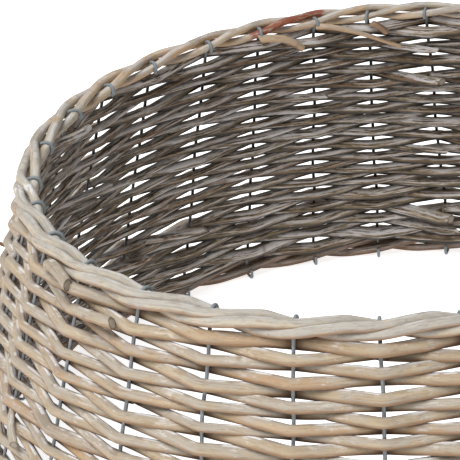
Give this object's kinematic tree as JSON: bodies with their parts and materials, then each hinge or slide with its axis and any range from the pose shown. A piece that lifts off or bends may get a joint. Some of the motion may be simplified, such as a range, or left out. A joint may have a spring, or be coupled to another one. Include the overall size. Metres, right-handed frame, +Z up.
{
  "type": "christmas tree skirt",
  "caption": "Open wicker ring with a leaning wall, set round the foot of a Christmas tree to hide its stand: willow rods woven on wire stakes between twisted borders.",
  "frame": {"origin": "centre of the ring on the floor that it stands on", "axes": "+Z up along the axis of the cone, narrow end up; the bay where each round of the wall climbs to the next ends at +X"},
  "size_m": [0.6878, 0.6888, 0.2667],
  "materials": {
    "galvanised_wire": "dull zinc-coated wire",
    "buff_willow": "rough, dull bark",
    "bleached_willow": "rough, dull, white-washed bark"
  },
  "bodies": {
    "root": {"stake_01": "galvanised_wire", "stake_02": "galvanised_wire", "stake_03": "galvanised_wire", "stake_04": "galvanised_wire", "stake_05": "galvanised_wire", "stake_06": "galvanised_wire", "stake_07": "galvanised_wire", "stake_08": "galvanised_wire", "stake_09": "galvanised_wire", "stake_10": "galvanised_wire", "stake_11": "galvanised_wire", "stake_12": "galvanised_wire", "stake_13": "galvanised_wire", "stake_14": "galvanised_wire", "stake_15": "galvanised_wire", "stake_16": "galvanised_wire", "stake_17": "galvanised_wire", "stake_18": "galvanised_wire", "stake_19": "galvanised_wire", "stake_20": "galvanised_wire", "stake_21": "galvanised_wire", "stake_22": "galvanised_wire", "stake_23": "galvanised_wire", "stake_24": "galvanised_wire", "stake_25": "galvanised_wire", "stake_26": "galvanised_wire", "stake_27": "galvanised_wire", "stake_28": "galvanised_wire", "stake_29": "galvanised_wire", "stake_30": "galvanised_wire", "stake_31": "galvanised_wire", "weaver_01": "buff_willow", "weaver_02": "buff_willow", "weaver_03": "buff_willow", "weaver_04": "buff_willow", "weaver_05": "buff_willow", "weaver_06": "buff_willow", "weaver_07": "buff_willow", "weaver_08": "buff_willow", "weaver_09": "buff_willow", "weaver_10": "buff_willow", "weaver_11": "buff_willow", "weaver_12": "buff_willow", "weaver_13": "buff_willow", "weaver_14": "buff_willow", "weaver_15": "buff_willow", "weaver_16": "buff_willow", "weaver_17": "buff_willow", "weaver_18": "buff_willow", "weaver_19": "buff_willow", "weaver_20": "buff_willow", "weaver_21": "buff_willow", "weaver_22": "buff_willow", "top_border_rod_1": "bleached_willow", "top_border_rod_2": "bleached_willow", "top_border_rod_3": "bleached_willow", "bottom_border_rod_1": "bleached_willow", "bottom_border_rod_2": "bleached_willow", "bottom_border_rod_3": "bleached_willow"}
  },
  "joints": []
}
